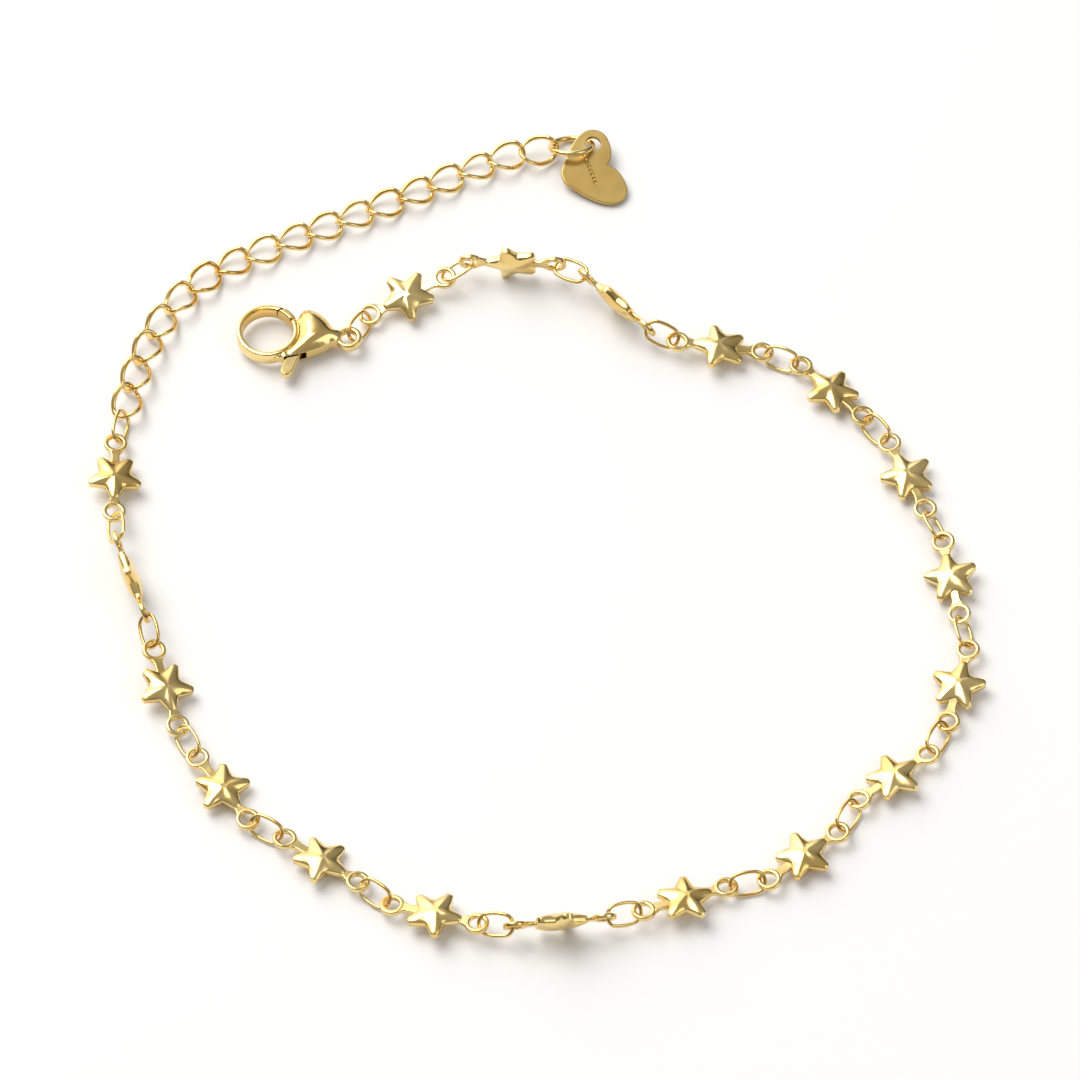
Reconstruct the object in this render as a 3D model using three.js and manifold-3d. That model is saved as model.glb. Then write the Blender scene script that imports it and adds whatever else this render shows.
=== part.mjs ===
// Charm anklet of star links with a lobster clasp, an extension chain and a flat heart tag.
// It lies unfastened on a flat surface. Millimetres, +Z up.
import * as THREE from 'three';
import { mergeVertices } from 'three/addons/utils/BufferGeometryUtils.js';
import Module from 'manifold-3d';

const wasm = await Module();
wasm.setup();

// Star link: one casting with a puffed star between two eyelets
const eyeletSpan = 7.7;
const eyeletHole = 1.3;
const eyeletRim = 0.42;
const eyeletThickness = 0.46;
const rimChamfer = 0.36;
const starRadius = 2.4;
const starNotchRadius = 1.42;
const starTipWidth = 0.58;
const starThickness = 1.45;
const starWallHeight = 0.46;
const neckThickness = 0.38;
const neckWaist = 0.74;
const neckFlare = 0.58;

// Oval rings between the links, with the facets of every bent wire
const wireSides = 5;
const ringSegments = 14;
const ringLength = 3.42;
const ringWidth = 2.35;
const ringWire = 0.28;
const ringPlay = 0.19;
const ringRestRoll = 48;

// Extension chain of twisted oval links
const curbLinkCount = 17;
const curbLength = 3.86;
const curbWidth = 2.95;
const curbWire = 0.42;
const curbTwist = 45;
const curbFuse = 0.05;
const curbRestShare = 0.277;

// Jump ring and heart tag
const jumpRingOuter = 4.4;
const jumpRingWire = 0.48;
const jumpRingTilt = -33;
const tagLobeSpacing = 4.9;
const tagLobeRadius = 1.5;
const tagPointDrop = 3.9;
const tagPointRadius = 0.7;
const tagNotchRise = 0.55;
const tagThickness = 0.45;
const tagBevel = 0.1;
const tagHole = 1.5;

// Lobster clasp
const claspHole = 4.5;
const claspBand = 0.62;
const claspBandThickness = 1.5;
const claspBandBevel = 0.15;
const hookFrom = 30;
const hookTo = 320;
const claspReach = 7.35;
const claspBodyThickness = 2.4;
const claspBodyBevel = 0.5;
const claspEyeHole = 1.4;
const claspEyeRim = 0.5;
const claspEyeThickness = 0.75;
const claspBackWall = 0.6;
const gateSeamAngle = 66;
const gateShoulderAngle = 38;
const gateTipAngle = 86;
const gateOverlap = 12;
const armFrom = -30;
const armSlotFrom = -38;
const armSlotTo = 60;
const leverThickness = 0.7;
const leverSideGap = 0.1;
const leverGap = 0.12;
const leverInset = 0.02;
const leverBoss = 1.3;
const pinDiameter = 0.6;
const pinGap = 0.08;
const tabReach = 3.5;
const tabWidth = 1.1;
const leverSwing = 25;
const tabAngle = -106;
const tabSlotMargin = 9;

// Where each link goes, one row a link from the clasp on, angles in degrees.
// ring and ringRoll: course and roll of the ring before it. star and starRoll: course and roll of the link.
// slack: how far the ring's two eyelets are pushed together, as a share of eyeletHole.
// riseA and riseB: how far the link's eyelets are drawn up, as shares of eyeletRise.
const eyeletRise = 0.8;
const route = [
  { ring: 57, ringRoll: 56, slack: 0, star: 28, starRoll: 8, riseA: 0, riseB: 0.9 },
  { ring: 30, ringRoll: -27, slack: 0.8, star: -2, starRoll: 96, riseA: 0, riseB: 0 },
  { ring: -26, ringRoll: 5, slack: 0.4, star: -46, starRoll: -71, riseA: 0, riseB: 0 },
  { ring: -22, ringRoll: 46, slack: 0.5, star: -5, starRoll: -6, riseA: 0.9, riseB: 0 },
  { ring: -23, ringRoll: 48, slack: 0, star: -45, starRoll: -9, riseA: 0, riseB: 0 },
  { ring: -52, ringRoll: 46, slack: 0, star: -67, starRoll: 1, riseA: 0, riseB: 0 },
  { ring: -67, ringRoll: -48, slack: 0, star: -81, starRoll: 8, riseA: 0, riseB: 0 },
  { ring: -80, ringRoll: -46, slack: 0, star: -105, starRoll: 4, riseA: 0, riseB: 0 },
  { ring: -119, ringRoll: -47, slack: 0, star: -143, starRoll: 10, riseA: 0, riseB: 0 },
  { ring: -120, ringRoll: -48, slack: 0, star: -142, starRoll: 5, riseA: 0, riseB: 0 },
  { ring: -168, ringRoll: -47, slack: 0, star: -159, starRoll: 11, riseA: 0, riseB: 0.9 },
  { ring: -163, ringRoll: -48, slack: 0.15, star: -174, starRoll: 70, riseA: 0, riseB: 0 },
  { ring: -190, ringRoll: -46, slack: 0.3, star: -197, starRoll: 8, riseA: 0.9, riseB: 0 },
  { ring: -218, ringRoll: -48, slack: 0, star: -214, starRoll: 10, riseA: 0, riseB: 0 },
  { ring: -211, ringRoll: -48, slack: 0, star: -234, starRoll: 3, riseA: 0, riseB: 0 },
  { ring: -241, ringRoll: -47, slack: 0, star: -253, starRoll: 8, riseA: 0, riseB: 0.9 },
  { ring: -255, ringRoll: -47, slack: 0, star: -251, starRoll: 78, riseA: 0, riseB: 0 },
  { ring: -262, ringRoll: -46, slack: 0, star: -269, starRoll: 7, riseA: 0.9, riseB: 0.2 },
];
const claspCourse = -4;
const extensionRing = { course: -282, roll: 62 };
// Course and roll of the extension's links, from the ring to the free end
const extensionCourse = [
  -281, -283, -287, -293, -302, -314, -326, -332, -334, -335, -335, -335, -334, -333, -334, -338, -350,
];
const extensionRoll = [14, 4, -6, 5, -4, 6, -5, 4, -6, 3, -4, 6, -3, 5, -6, 8, 30];
const jumpRingCourse = 4;
const tagCourse = -70;

const radians = THREE.MathUtils.degToRad;

// Solids
function solidOf(geometry) {
  const bare = geometry.index ? geometry.clone() : geometry;
  bare.deleteAttribute('normal');
  bare.deleteAttribute('uv');
  const merged = mergeVertices(bare);
  return new wasm.Manifold(new wasm.Mesh({
    numProp: 3,
    vertProperties: new Float32Array(merged.attributes.position.array),
    triVerts: new Uint32Array(merged.index.array),
  }));
}

function geometryOf(solid) {
  const mesh = solid.getMesh();
  const geometry = new THREE.BufferGeometry();
  geometry.setAttribute('position', new THREE.BufferAttribute(mesh.vertProperties, 3));
  geometry.setIndex(new THREE.BufferAttribute(mesh.triVerts, 1));
  geometry.computeVertexNormals();
  return geometry;
}

function moveVertices(geometry, move) {
  const position = geometry.attributes.position;
  const point = new THREE.Vector3();
  for (let i = 0; i < position.count; i += 1) {
    move(point.fromBufferAttribute(position, i));
    position.setXYZ(i, point.x, point.y, point.z);
  }
  return geometry;
}

// A plate of the outline's shape, centred on z = 0, with bevelled edges inside the outline
function plate(shape, thickness, bevel, curveSegments, bevelSegments = 1) {
  const geometry = new THREE.ExtrudeGeometry(shape, {
    depth: thickness - 2 * bevel,
    bevelEnabled: bevel > 0,
    bevelThickness: bevel,
    bevelSize: bevel,
    bevelOffset: -bevel,
    bevelSegments,
    curveSegments,
  });
  geometry.translate(0, 0, bevel - thickness / 2);
  return geometry;
}

// A flat ring round +Z whose inner and outer edges come to a blunt ridge
function flatRing(hole, rim, thickness, segments) {
  const inner = hole / 2;
  const outer = inner + rim;
  const chamfer = rim * rimChamfer;
  const half = thickness / 2;
  const section = [
    [inner, 0], [inner + chamfer, -half], [outer - chamfer, -half],
    [outer, 0], [outer - chamfer, half], [inner + chamfer, half], [inner, 0],
  ].map(([radius, height]) => new THREE.Vector2(radius, height));
  return new THREE.LatheGeometry(section, segments).rotateX(Math.PI / 2);
}

// An oval ring of round wire, long along X, whose ends are twisted by twist degrees either way
function ovalRing(length, width, wire, twist, segments, sides) {
  const halfLength = (length - wire) / 2;
  const halfWidth = (width - wire) / 2;
  const ring = new THREE.TorusGeometry(1, wire / 2, sides, segments);
  return moveVertices(ring, (point) => {
    const turn = Math.atan2(point.y, point.x);
    const out = Math.hypot(point.x, point.y) - 1;
    const stretch = (halfLength - halfWidth) * THREE.MathUtils.clamp(2 * Math.cos(turn), -1, 1);
    const x = (halfWidth + out) * Math.cos(turn) + stretch;
    const y = (halfWidth + out) * Math.sin(turn);
    const angle = radians(twist) * THREE.MathUtils.clamp(x / halfLength, -1, 1);
    point.set(x, y * Math.cos(angle) - point.z * Math.sin(angle), y * Math.sin(angle) + point.z * Math.cos(angle));
  });
}

// Star link, along X from eyelet A to eyelet B, its lone star point towards A
function starOutline(step) {
  const armAngle = Math.PI + Math.floor(step / 3) * (Math.PI * 2 / 5);
  const tip = Math.atan2(starTipWidth / 2, starRadius);
  return [
    { angle: armAngle - tip, radius: starRadius },
    { angle: armAngle + tip, radius: starRadius },
    { angle: armAngle + Math.PI / 5, radius: starNotchRadius },
  ][step % 3];
}

function puffedStar() {
  const steps = 15;
  const wall = starWallHeight / 2;
  const dome = starThickness / 2 - wall;
  const rows = [
    { reach: 0, rise: 1 },
    { reach: 0.6, rise: 0.7 },
    { reach: 1, rise: 0 },
  ];
  const below = rows.map((row) => new THREE.Vector2(row.reach, -wall - dome * row.rise));
  const above = rows.map((row) => new THREE.Vector2(row.reach, wall + dome * row.rise)).reverse();
  const star = new THREE.LatheGeometry([...below, ...above], steps).rotateX(Math.PI / 2).rotateZ(Math.PI / 2);
  return moveVertices(star, (point) => {
    const reach = Math.hypot(point.x, point.y);
    const turn = Math.atan2(point.y, point.x) / (Math.PI * 2) + 1;
    const outline = starOutline(Math.round(turn * steps) % steps);
    point.x = reach * outline.radius * Math.cos(outline.angle);
    point.y = reach * outline.radius * Math.sin(outline.angle);
  });
}

function neck(side, starEnd) {
  const eyeletOuter = eyeletHole / 2 + eyeletRim;
  const eyeletEnd = eyeletSpan / 2 - (eyeletHole + eyeletRim) / 2;
  const waistEnd = eyeletSpan / 2 - eyeletOuter - eyeletRim;
  const flare = eyeletOuter * neckFlare;
  const shape = new THREE.Shape();
  shape.moveTo(side * eyeletEnd, flare);
  shape.lineTo(side * waistEnd, neckWaist / 2);
  shape.lineTo(side * starEnd, neckWaist / 2);
  shape.lineTo(side * starEnd, -neckWaist / 2);
  shape.lineTo(side * waistEnd, -neckWaist / 2);
  shape.lineTo(side * eyeletEnd, -flare);
  return plate(shape, neckThickness, 0, 1);
}

function starLinkGeometry() {
  const rimA = flatRing(eyeletHole, eyeletRim, eyeletThickness, 10).translate(-eyeletSpan / 2, 0, 0);
  const rimB = flatRing(eyeletHole, eyeletRim, eyeletThickness, 10).translate(eyeletSpan / 2, 0, 0);
  return geometryOf(solidOf(puffedStar())
    .add(solidOf(rimA))
    .add(solidOf(rimB))
    .add(solidOf(neck(-1, starNotchRadius)))
    .add(solidOf(neck(1, starNotchRadius / 2))));
}

// Lobster clasp, along X with the middle of its hook at the origin and its eye on +X
const hookInner = claspHole / 2;
const hookOuter = hookInner + claspBand;
const hookMiddle = (hookInner + hookOuter) / 2;
const pivot = new THREE.Vector2(hookInner + claspBackWall, -hookInner * 0.5);
const seam = new THREE.Vector2(
  hookMiddle * Math.cos(radians(gateSeamAngle)),
  hookMiddle * Math.sin(radians(gateSeamAngle)),
);
const seamRadius = seam.distanceTo(pivot);
const bodyEnd = claspReach - claspEyeHole / 2 - claspEyeRim / 2;

function bandSector(inner, outer, from, to) {
  const shape = new THREE.Shape();
  shape.absarc(0, 0, outer, radians(from), radians(to), false);
  shape.absarc(0, 0, inner, radians(to), radians(from), true);
  return shape;
}

function disc(middle, radius, thickness, segments) {
  return new THREE.CylinderGeometry(radius, radius, thickness, segments)
    .rotateX(Math.PI / 2)
    .translate(middle.x, middle.y, 0);
}

// The half plane above the pivot, where the hook's tip and the gate meet
function aboveHook(thickness) {
  return new THREE.BoxGeometry(claspReach * 2, claspReach, thickness).translate(0, claspReach / 2 + hookInner / 3, 0);
}

function claspOutline() {
  const shoulder = hookOuter - claspBand / 2;
  const shape = new THREE.Shape();
  shape.moveTo(0, -hookMiddle);
  shape.lineTo(hookInner * 0.62, -hookOuter * 0.95);
  shape.quadraticCurveTo(claspReach * 0.58, -hookOuter * 0.72, bodyEnd - claspEyeRim, -claspEyeRim * 1.5);
  shape.lineTo(bodyEnd, -claspEyeRim * 1.1);
  shape.lineTo(bodyEnd, claspEyeRim * 1.1);
  shape.lineTo(bodyEnd - claspEyeRim, claspEyeRim * 1.5);
  shape.quadraticCurveTo(claspReach * 0.62, shoulder * 0.9, claspReach * 0.48, shoulder);
  shape.quadraticCurveTo(claspReach * 0.42, shoulder * 1.02, claspReach * 0.38, shoulder * 0.9);
  shape.lineTo(hookInner * 0.88, hookInner * 0.48);
  shape.lineTo(hookInner * 0.9, 0);
  return shape;
}

function slotSolid() {
  const depth = leverThickness + 2 * leverSideGap;
  const armSlot = solidOf(plate(bandSector(hookInner * 0.5, hookOuter + leverGap, armSlotFrom, armSlotTo), depth, 0, 6));
  const bossSlot = solidOf(disc(pivot, leverBoss / 2 + leverGap, depth, 14));
  const wedge = new THREE.Shape();
  const reach = tabReach * 1.4;
  const spread = tabWidth / 2 + leverGap;
  wedge.moveTo(pivot.x - spread, pivot.y);
  for (const turn of [tabAngle - tabSlotMargin, tabAngle + leverSwing + tabSlotMargin]) {
    wedge.lineTo(pivot.x + reach * Math.cos(radians(turn)), pivot.y + reach * Math.sin(radians(turn)));
  }
  wedge.lineTo(pivot.x + spread, pivot.y);
  return armSlot.add(bossSlot).add(solidOf(plate(wedge, depth, 0, 1)));
}

function claspBodyGeometry() {
  const whole = claspBodyThickness * 2;
  const seamCut = solidOf(disc(pivot, seamRadius + leverGap, whole, 32)).intersect(solidOf(aboveHook(whole)));
  const hook = solidOf(plate(bandSector(hookInner, hookOuter, hookFrom, hookTo), claspBandThickness, claspBandBevel, 8))
    .subtract(seamCut);
  const body = solidOf(plate(claspOutline(), claspBodyThickness, claspBodyBevel, 4, 2))
    .subtract(solidOf(disc(new THREE.Vector2(), hookInner, whole, 24)));
  const eye = flatRing(claspEyeHole, claspEyeRim, claspEyeThickness, 12).translate(claspReach, 0, 0);
  const pin = disc(pivot, pinDiameter / 2, claspBodyThickness - claspBodyBevel, 12);
  return geometryOf(hook.add(body).subtract(slotSolid()).add(solidOf(eye)).add(solidOf(pin)));
}

function tabShape() {
  const along = new THREE.Vector2(Math.cos(radians(tabAngle)), Math.sin(radians(tabAngle)));
  const across = new THREE.Vector2(-along.y, along.x);
  const at = (distance, side) => pivot.clone().addScaledVector(along, distance).addScaledVector(across, side);
  const end = tabReach - tabWidth / 2;
  const shape = new THREE.Shape([at(0, tabWidth / 2), at(0, -tabWidth / 2)]);
  const tip = at(end, 0);
  shape.absarc(tip.x, tip.y, tabWidth / 2, radians(tabAngle - 90), radians(tabAngle + 90), false);
  return shape;
}

function claspLeverGeometry() {
  const whole = claspBodyThickness * 2;
  const withinSeam = solidOf(disc(pivot, seamRadius, whole, 40));
  const gateBand = bandSector(hookInner + leverInset, hookOuter - leverInset, gateShoulderAngle, gateTipAngle);
  const armTo = gateShoulderAngle + gateOverlap;
  const armBand = bandSector(hookInner + leverInset, hookOuter - leverInset, armFrom, armTo);
  const gate = solidOf(plate(gateBand, claspBandThickness, claspBandBevel, 3)).intersect(withinSeam);
  const arm = solidOf(plate(armBand, leverThickness, 0, 6));
  const boss = solidOf(disc(pivot, leverBoss / 2, leverThickness, 14));
  const tab = solidOf(plate(tabShape(), leverThickness, 0, 4));
  const bore = solidOf(disc(pivot, pinDiameter / 2 + pinGap, whole, 12));
  return geometryOf(gate.add(arm).add(boss).add(tab).subtract(bore));
}

// Heart tag, flat in XY, with the hole of its hanging lobe at the origin and its point on -Y
function heartShape() {
  const half = tagLobeSpacing / 2;
  const outer = half + tagLobeRadius;
  const point = -tagPointDrop;
  const shape = new THREE.Shape();
  shape.moveTo(0, tagNotchRise);
  shape.bezierCurveTo(half * 0.3, tagLobeRadius, half * 0.75, tagLobeRadius, half, tagLobeRadius);
  shape.bezierCurveTo(outer - tagLobeRadius * 0.4, tagLobeRadius, outer, tagLobeRadius * 0.5, outer, 0);
  shape.bezierCurveTo(outer, point * 0.32, half * 0.9, point * 0.68, tagPointRadius, point + tagPointRadius * 0.25);
  shape.quadraticCurveTo(0, point - tagPointRadius * 0.1, -tagPointRadius, point + tagPointRadius * 0.25);
  shape.bezierCurveTo(-half * 0.9, point * 0.68, -outer, point * 0.32, -outer, 0);
  shape.bezierCurveTo(-outer, tagLobeRadius * 0.5, tagLobeRadius * 0.4 - outer, tagLobeRadius, -half, tagLobeRadius);
  shape.bezierCurveTo(-half * 0.75, tagLobeRadius, -half * 0.3, tagLobeRadius, 0, tagNotchRise);
  return shape;
}

function heartTagGeometry() {
  const half = tagLobeSpacing / 2;
  const heart = solidOf(plate(heartShape(), tagThickness, tagBevel, 4));
  const hole = solidOf(disc(new THREE.Vector2(-half, 0), tagHole / 2, tagThickness * 2, 12));
  return geometryOf(heart.subtract(hole)).translate(half, 0, 0);
}

// Placing
const anklet = new THREE.Group();
anklet.name = 'charm_anklet';

function direction(course, rise) {
  const level = Math.sqrt(1 - rise * rise);
  return new THREE.Vector3(level * Math.cos(radians(course)), level * Math.sin(radians(course)), rise);
}

function placement(middle, along, roll) {
  const side = new THREE.Vector3(-along.y, along.x, 0).normalize();
  const up = new THREE.Vector3().crossVectors(along, side);
  return new THREE.Matrix4()
    .makeTranslation(middle)
    .multiply(new THREE.Matrix4().makeBasis(along, side, up))
    .multiply(new THREE.Matrix4().makeRotationX(radians(roll)));
}

function polishedGold(tint) {
  return new THREE.MeshStandardMaterial({ color: tint, roughness: 0.16, metalness: 1 });
}

function addPiece(name, geometry, matrix, tint) {
  const mesh = new THREE.Mesh(geometry, polishedGold(tint));
  mesh.name = name;
  mesh.applyMatrix4(matrix);
  anklet.add(mesh);
  return mesh;
}

const castGold = 0xdfb96a;
const wireGold = 0xe3c17a;
const ringHalf = ringWidth / 2;
const restHeight = ringHalf * Math.sin(radians(ringRestRoll));
const eyeletPitch = ringLength - 2 * ringWire + eyeletHole - 2 * ringPlay;
const number = (index) => String(index).padStart(2, '0');

// Height of a link's middle: on its arm's tip when it stands on edge, else where its rings carry it
function linkHeight(roll) {
  const lean = Math.abs(Math.sin(radians(roll)));
  const tip = starRadius * Math.sin(Math.PI * 2 / 5) * lean + starWallHeight / 2 * Math.cos(radians(roll));
  return Math.max(restHeight, tip);
}

function placeLinks(start) {
  const starGeometry = starLinkGeometry();
  const ringGeometry = ovalRing(ringLength, ringWidth, ringWire, 0, ringSegments, wireSides);
  let end = start;
  route.forEach((row, index) => {
    const height = linkHeight(row.starRoll);
    const heightA = height + row.riseA * eyeletRise;
    const heightB = height + row.riseB * eyeletRise;
    const pitch = (index === 0 ? claspRingPitch : eyeletPitch) - row.slack * eyeletHole;
    const ringAlong = direction(row.ring, (heightA - end.z) / pitch);
    const eyeletA = end.clone().addScaledVector(ringAlong, pitch);
    const ringMiddle = end.clone().lerp(eyeletA, 0.5);
    const ringName = index === 0 ? 'clasp_ring' : `link_ring_${number(index)}`;
    addPiece(ringName, ringGeometry, placement(ringMiddle, ringAlong, row.ringRoll), wireGold);
    const along = direction(row.star, (heightB - heightA) / eyeletSpan);
    const middle = eyeletA.clone().addScaledVector(along, eyeletSpan / 2);
    addPiece(`star_link_${number(index + 1)}`, starGeometry, placement(middle, along, row.starRoll), castGold);
    end = eyeletA.addScaledVector(along, eyeletSpan);
  });
  return end;
}

const claspRingPitch = ringLength - 2 * ringWire + (eyeletHole + claspEyeHole) / 2 - 4 * ringPlay;

function placeClasp() {
  const eye = new THREE.Vector3(0, 0, claspBodyThickness / 2);
  const along = direction(claspCourse, 0);
  const hook = eye.clone().addScaledVector(along, -claspReach);
  addPiece('clasp_body', claspBodyGeometry(), placement(hook, along, 0), castGold);
  addPiece('clasp_lever', claspLeverGeometry(), placement(hook, along, 0), castGold);
  return eye;
}

// The extension starts with an oval ring in the last eyelet and ends inside the jump ring
function placeExtension(end) {
  const ringInside = ringLength / 2 - ringWire - ringPlay;
  const ringAlong = direction(extensionRing.course, 0);
  const ringMiddle = end.clone().addScaledVector(ringAlong, ringInside + eyeletHole / 2);
  const ringGeometry = ovalRing(ringLength, ringWidth, ringWire, 0, ringSegments, wireSides);
  addPiece('extension_ring', ringGeometry, placement(ringMiddle, ringAlong, extensionRing.roll), wireGold);
  const curb = ovalRing(curbLength, curbWidth, curbWire, curbTwist, ringSegments, wireSides);
  const curbPitch = curbLength - 2 * curbWire + curbFuse;
  const curbHeight = curbWidth * curbRestShare;
  let point = ringMiddle.clone().addScaledVector(ringAlong, ringInside - curbWire / 2);
  let chain = null;
  extensionCourse.forEach((course, index) => {
    const drop = Math.max(0, 1 - index / 3) * (ringMiddle.z - curbHeight);
    const lift = Math.max(0, 1 - (curbLinkCount - 1 - index) / 2) * (jumpRingHeight - curbHeight);
    const height = curbHeight + drop + lift;
    const reach = index === 0 ? (curbLength - curbWire) / 2 : curbPitch;
    const along = direction(course, 0);
    point = point.clone().addScaledVector(along, reach).setZ(height);
    const link = solidOf(curb.clone().applyMatrix4(placement(point, along, extensionRoll[index])));
    chain = chain ? chain.add(link) : link;
  });
  addPiece('extension_chain', geometryOf(chain), new THREE.Matrix4(), wireGold);
  return { point, along: direction(extensionCourse[curbLinkCount - 1], 0) };
}

const jumpRingMiddle = (jumpRingOuter - jumpRingWire) / 2;
const jumpRingHeight = jumpRingMiddle * Math.abs(Math.sin(radians(jumpRingTilt))) + jumpRingWire / 2;

// The tag hangs in the jump ring by its hole and rests on the far edge of its other lobe
function placeEnd(last) {
  const inside = jumpRingMiddle - jumpRingWire / 2 - ringPlay - curbWire / 2;
  const reach = (curbLength - curbWire) / 2 + inside;
  const middle = last.point.clone().addScaledVector(last.along, reach).setZ(jumpRingHeight);
  const ringPlace = placement(middle, direction(jumpRingCourse, 0), jumpRingTilt);
  addPiece('jump_ring', ovalRing(jumpRingOuter, jumpRingOuter, jumpRingWire, 0, 16, 6), ringPlace, wireGold);
  const hole = new THREE.Vector3(jumpRingMiddle, 0, 0).applyMatrix4(ringPlace);
  const slope = (hole.z - tagThickness / 2) / (tagLobeSpacing + tagLobeRadius);
  addPiece('heart_tag', heartTagGeometry(), placement(hole, direction(tagCourse, -slope), 0), castGold);
}

const lastEyelet = placeLinks(placeClasp());
placeEnd(placeExtension(lastEyelet));

// The origin is under the middle of the anklet's footprint, on the surface that it lies on
anklet.updateMatrixWorld(true);
const bounds = new THREE.Box3().setFromObject(anklet, true);
const footprint = bounds.getCenter(new THREE.Vector3());
anklet.position.set(-footprint.x, -footprint.y, -bounds.min.z);

export default anklet;
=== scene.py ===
import math

import bpy
from mathutils import Matrix, Vector


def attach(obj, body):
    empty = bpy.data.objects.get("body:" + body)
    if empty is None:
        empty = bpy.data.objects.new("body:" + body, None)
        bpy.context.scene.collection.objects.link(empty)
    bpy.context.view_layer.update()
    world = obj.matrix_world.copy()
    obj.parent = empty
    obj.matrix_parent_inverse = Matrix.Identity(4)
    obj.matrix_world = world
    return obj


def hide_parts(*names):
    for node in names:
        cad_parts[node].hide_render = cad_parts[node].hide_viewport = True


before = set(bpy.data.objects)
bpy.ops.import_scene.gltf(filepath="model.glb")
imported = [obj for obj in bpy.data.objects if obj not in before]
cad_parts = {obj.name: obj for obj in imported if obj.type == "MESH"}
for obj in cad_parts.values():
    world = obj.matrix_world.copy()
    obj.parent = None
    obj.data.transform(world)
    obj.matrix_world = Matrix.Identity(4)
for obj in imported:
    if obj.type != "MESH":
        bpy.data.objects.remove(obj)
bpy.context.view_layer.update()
mm = 0.001  # sizes below are in millimetres
almost = 0.98  # share of a height above which a face counts as lying on it

# How the anklet lies: courses, rolls and tilts in degrees
lay = {
    "claspEye": (-16.6760, 19.5709, 1.3202),
    "groundHeight": 0.1202,
    "claspCourse": -4,
    "eyeletRise": 0.8,
    "restRoll": 48,
    "play": 0.19,
    "ringWire": 0.28,  # the solids' wires, thinner than the shown ones, set the spacing
    "curbWire": 0.42,
    "jumpWire": 0.48,
    "curbLap": 0.05,
    "curbRestShare": 0.277,
    "dropLinks": 3,  # curb links that come down from the star chain
    "liftLinks": 2,  # curb links that rise to the jump ring
    "extensionRing": {"course": -282, "roll": 62},
    "extensionCourse": [
        -281, -283, -287, -293, -302, -314, -326, -332, -334, -335, -335, -335, -334, -333, -334, -338, -350],
    "extensionRoll": [14, 4, -6, 5, -4, 6, -5, 4, -6, 3, -4, 6, -3, 5, -6, 8, 30],
    "jumpRingCourse": 4,
    "jumpRingTilt": -33,
    "tagCourse": -70,
}
# One row a link from the clasp on: the ring's and the star's course and roll,
# slack as a share of the eyelet's hole, rises as shares of eyeletRise
route = [
    {"ring": 57, "ringRoll": 56, "slack": 0, "star": 28, "starRoll": 8, "riseA": 0, "riseB": 0.9},
    {"ring": 30, "ringRoll": -27, "slack": 0.8, "star": -2, "starRoll": 96, "riseA": 0, "riseB": 0},
    {"ring": -26, "ringRoll": 5, "slack": 0.4, "star": -46, "starRoll": -71, "riseA": 0, "riseB": 0},
    {"ring": -22, "ringRoll": 46, "slack": 0.5, "star": -5, "starRoll": -6, "riseA": 0.9, "riseB": 0},
    {"ring": -23, "ringRoll": 48, "slack": 0, "star": -45, "starRoll": -9, "riseA": 0, "riseB": 0},
    {"ring": -52, "ringRoll": 46, "slack": 0, "star": -67, "starRoll": 1, "riseA": 0, "riseB": 0},
    {"ring": -67, "ringRoll": -48, "slack": 0, "star": -81, "starRoll": 8, "riseA": 0, "riseB": 0},
    {"ring": -80, "ringRoll": -46, "slack": 0, "star": -105, "starRoll": 4, "riseA": 0, "riseB": 0},
    {"ring": -119, "ringRoll": -47, "slack": 0, "star": -143, "starRoll": 10, "riseA": 0, "riseB": 0},
    {"ring": -120, "ringRoll": -48, "slack": 0, "star": -142, "starRoll": 5, "riseA": 0, "riseB": 0},
    {"ring": -168, "ringRoll": -47, "slack": 0, "star": -159, "starRoll": 11, "riseA": 0, "riseB": 0.9},
    {"ring": -163, "ringRoll": -48, "slack": 0.15, "star": -174, "starRoll": 70, "riseA": 0, "riseB": 0},
    {"ring": -190, "ringRoll": -46, "slack": 0.3, "star": -197, "starRoll": 8, "riseA": 0.9, "riseB": 0},
    {"ring": -218, "ringRoll": -48, "slack": 0, "star": -214, "starRoll": 10, "riseA": 0, "riseB": 0},
    {"ring": -211, "ringRoll": -48, "slack": 0, "star": -234, "starRoll": 3, "riseA": 0, "riseB": 0},
    {"ring": -241, "ringRoll": -47, "slack": 0, "star": -253, "starRoll": 8, "riseA": 0, "riseB": 0.9},
    {"ring": -255, "ringRoll": -47, "slack": 0, "star": -251, "starRoll": 78, "riseA": 0, "riseB": 0},
    {"ring": -262, "ringRoll": -46, "slack": 0, "star": -269, "starRoll": 7, "riseA": 0.9, "riseB": 0.2},
]


# Small helpers for modelling
def selectNone():
    if bpy.context.object and bpy.context.object.mode != "OBJECT":
        bpy.ops.object.mode_set(mode="OBJECT")
    bpy.ops.object.select_all(action="DESELECT")


def pick(piece):
    selectNone()
    bpy.context.view_layer.objects.active = piece
    piece.select_set(True)
    return piece


def added(name):
    piece = bpy.context.object
    piece.name = name
    piece.data.name = name
    return pick(piece)


def selectFaces(piece, wanted):
    bpy.ops.object.mode_set(mode="EDIT")
    bpy.ops.mesh.select_mode(type="FACE")
    bpy.ops.mesh.select_all(action="DESELECT")
    bpy.ops.object.mode_set(mode="OBJECT")
    for face in piece.data.polygons:
        face.select = wanted(face)
    bpy.ops.object.mode_set(mode="EDIT")


def drag(piece, move):  # each vertex dragged to its new place
    for vertex in piece.data.vertices:
        vertex.co = move(vertex.co.copy())
    piece.data.update()


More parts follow.
